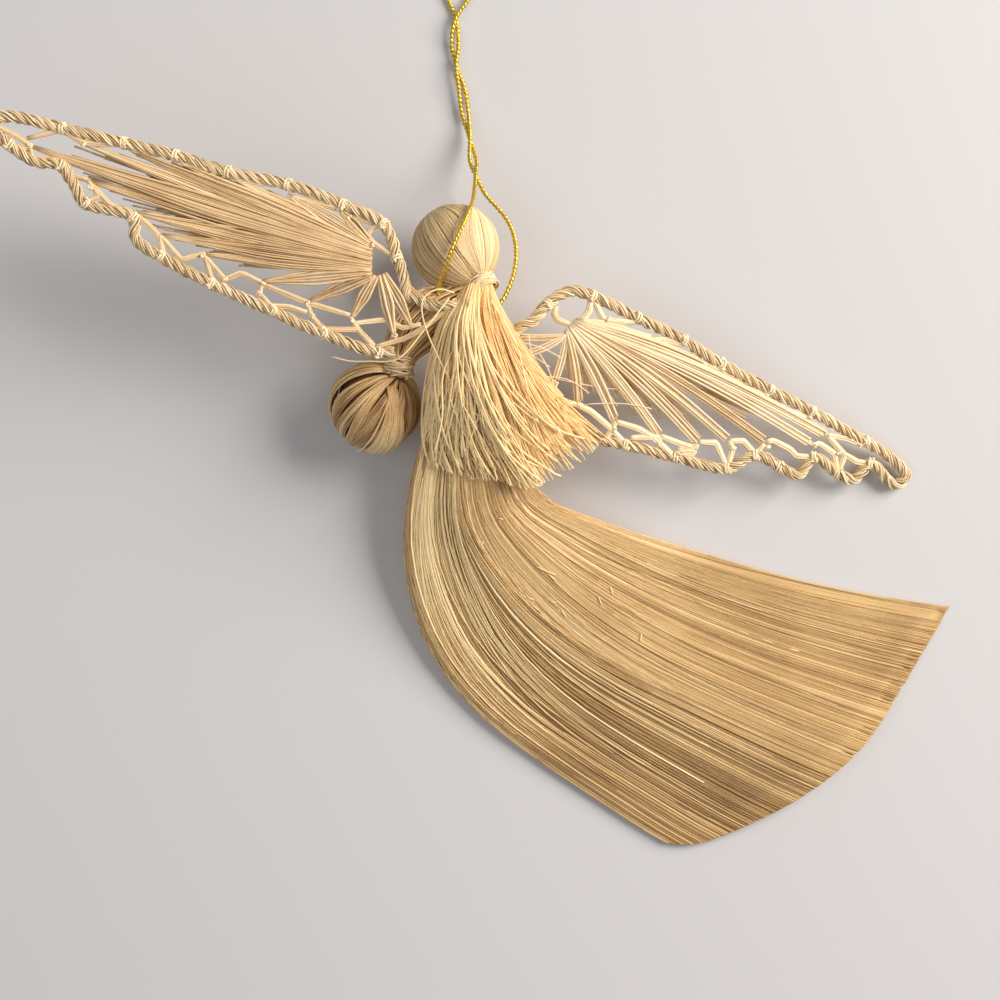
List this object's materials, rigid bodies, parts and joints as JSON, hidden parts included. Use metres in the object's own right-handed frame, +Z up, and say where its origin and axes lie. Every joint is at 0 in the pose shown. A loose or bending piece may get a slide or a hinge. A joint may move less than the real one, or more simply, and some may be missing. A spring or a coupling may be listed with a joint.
{
  "type": "straw angel ornament",
  "caption": "Flying angel of plant fibre with lace wings, a shaggy cape, a fanned skirt and a gold hanging loop.",
  "frame": {"origin": "middle of the ornament's plan, without its hanging cord, on the surface it lies on", "axes": "+X along the wingspan towards the skirt's far hem corner, +Y the way the hanging loop is laid, +Z up from the surface, out of the angel's back"},
  "size_m": [0.141, 0.1462, 0.0257],
  "materials": {
    "head_fibre": "smooth drawn plant fibre",
    "tie_fibre": "twisted plant fibre",
    "skirt_fibre": "glued fine plant fibre, satin",
    "cape_fibre": "loose cut plant fibre",
    "sleeve_fibre": "puffed plant fibre",
    "wing_rope": "twisted plant fibre rope",
    "wing_lace": "fine plant fibre lace",
    "gold_thread": "metallised two-ply thread"
  },
  "bodies": {
    "root": {"head": "head_fibre", "neck_tie": "tie_fibre", "skirt": "skirt_fibre", "cape": "cape_fibre", "left_sleeve": "sleeve_fibre", "right_sleeve": "sleeve_fibre", "left_arm": "sleeve_fibre", "left_sleeve_tie": "tie_fibre", "left_wing_border": "wing_rope", "left_wing_lace": "wing_lace", "right_wing_border": "wing_rope", "right_wing_lace": "wing_lace", "hanging_cord": "gold_thread"}
  },
  "joints": []
}
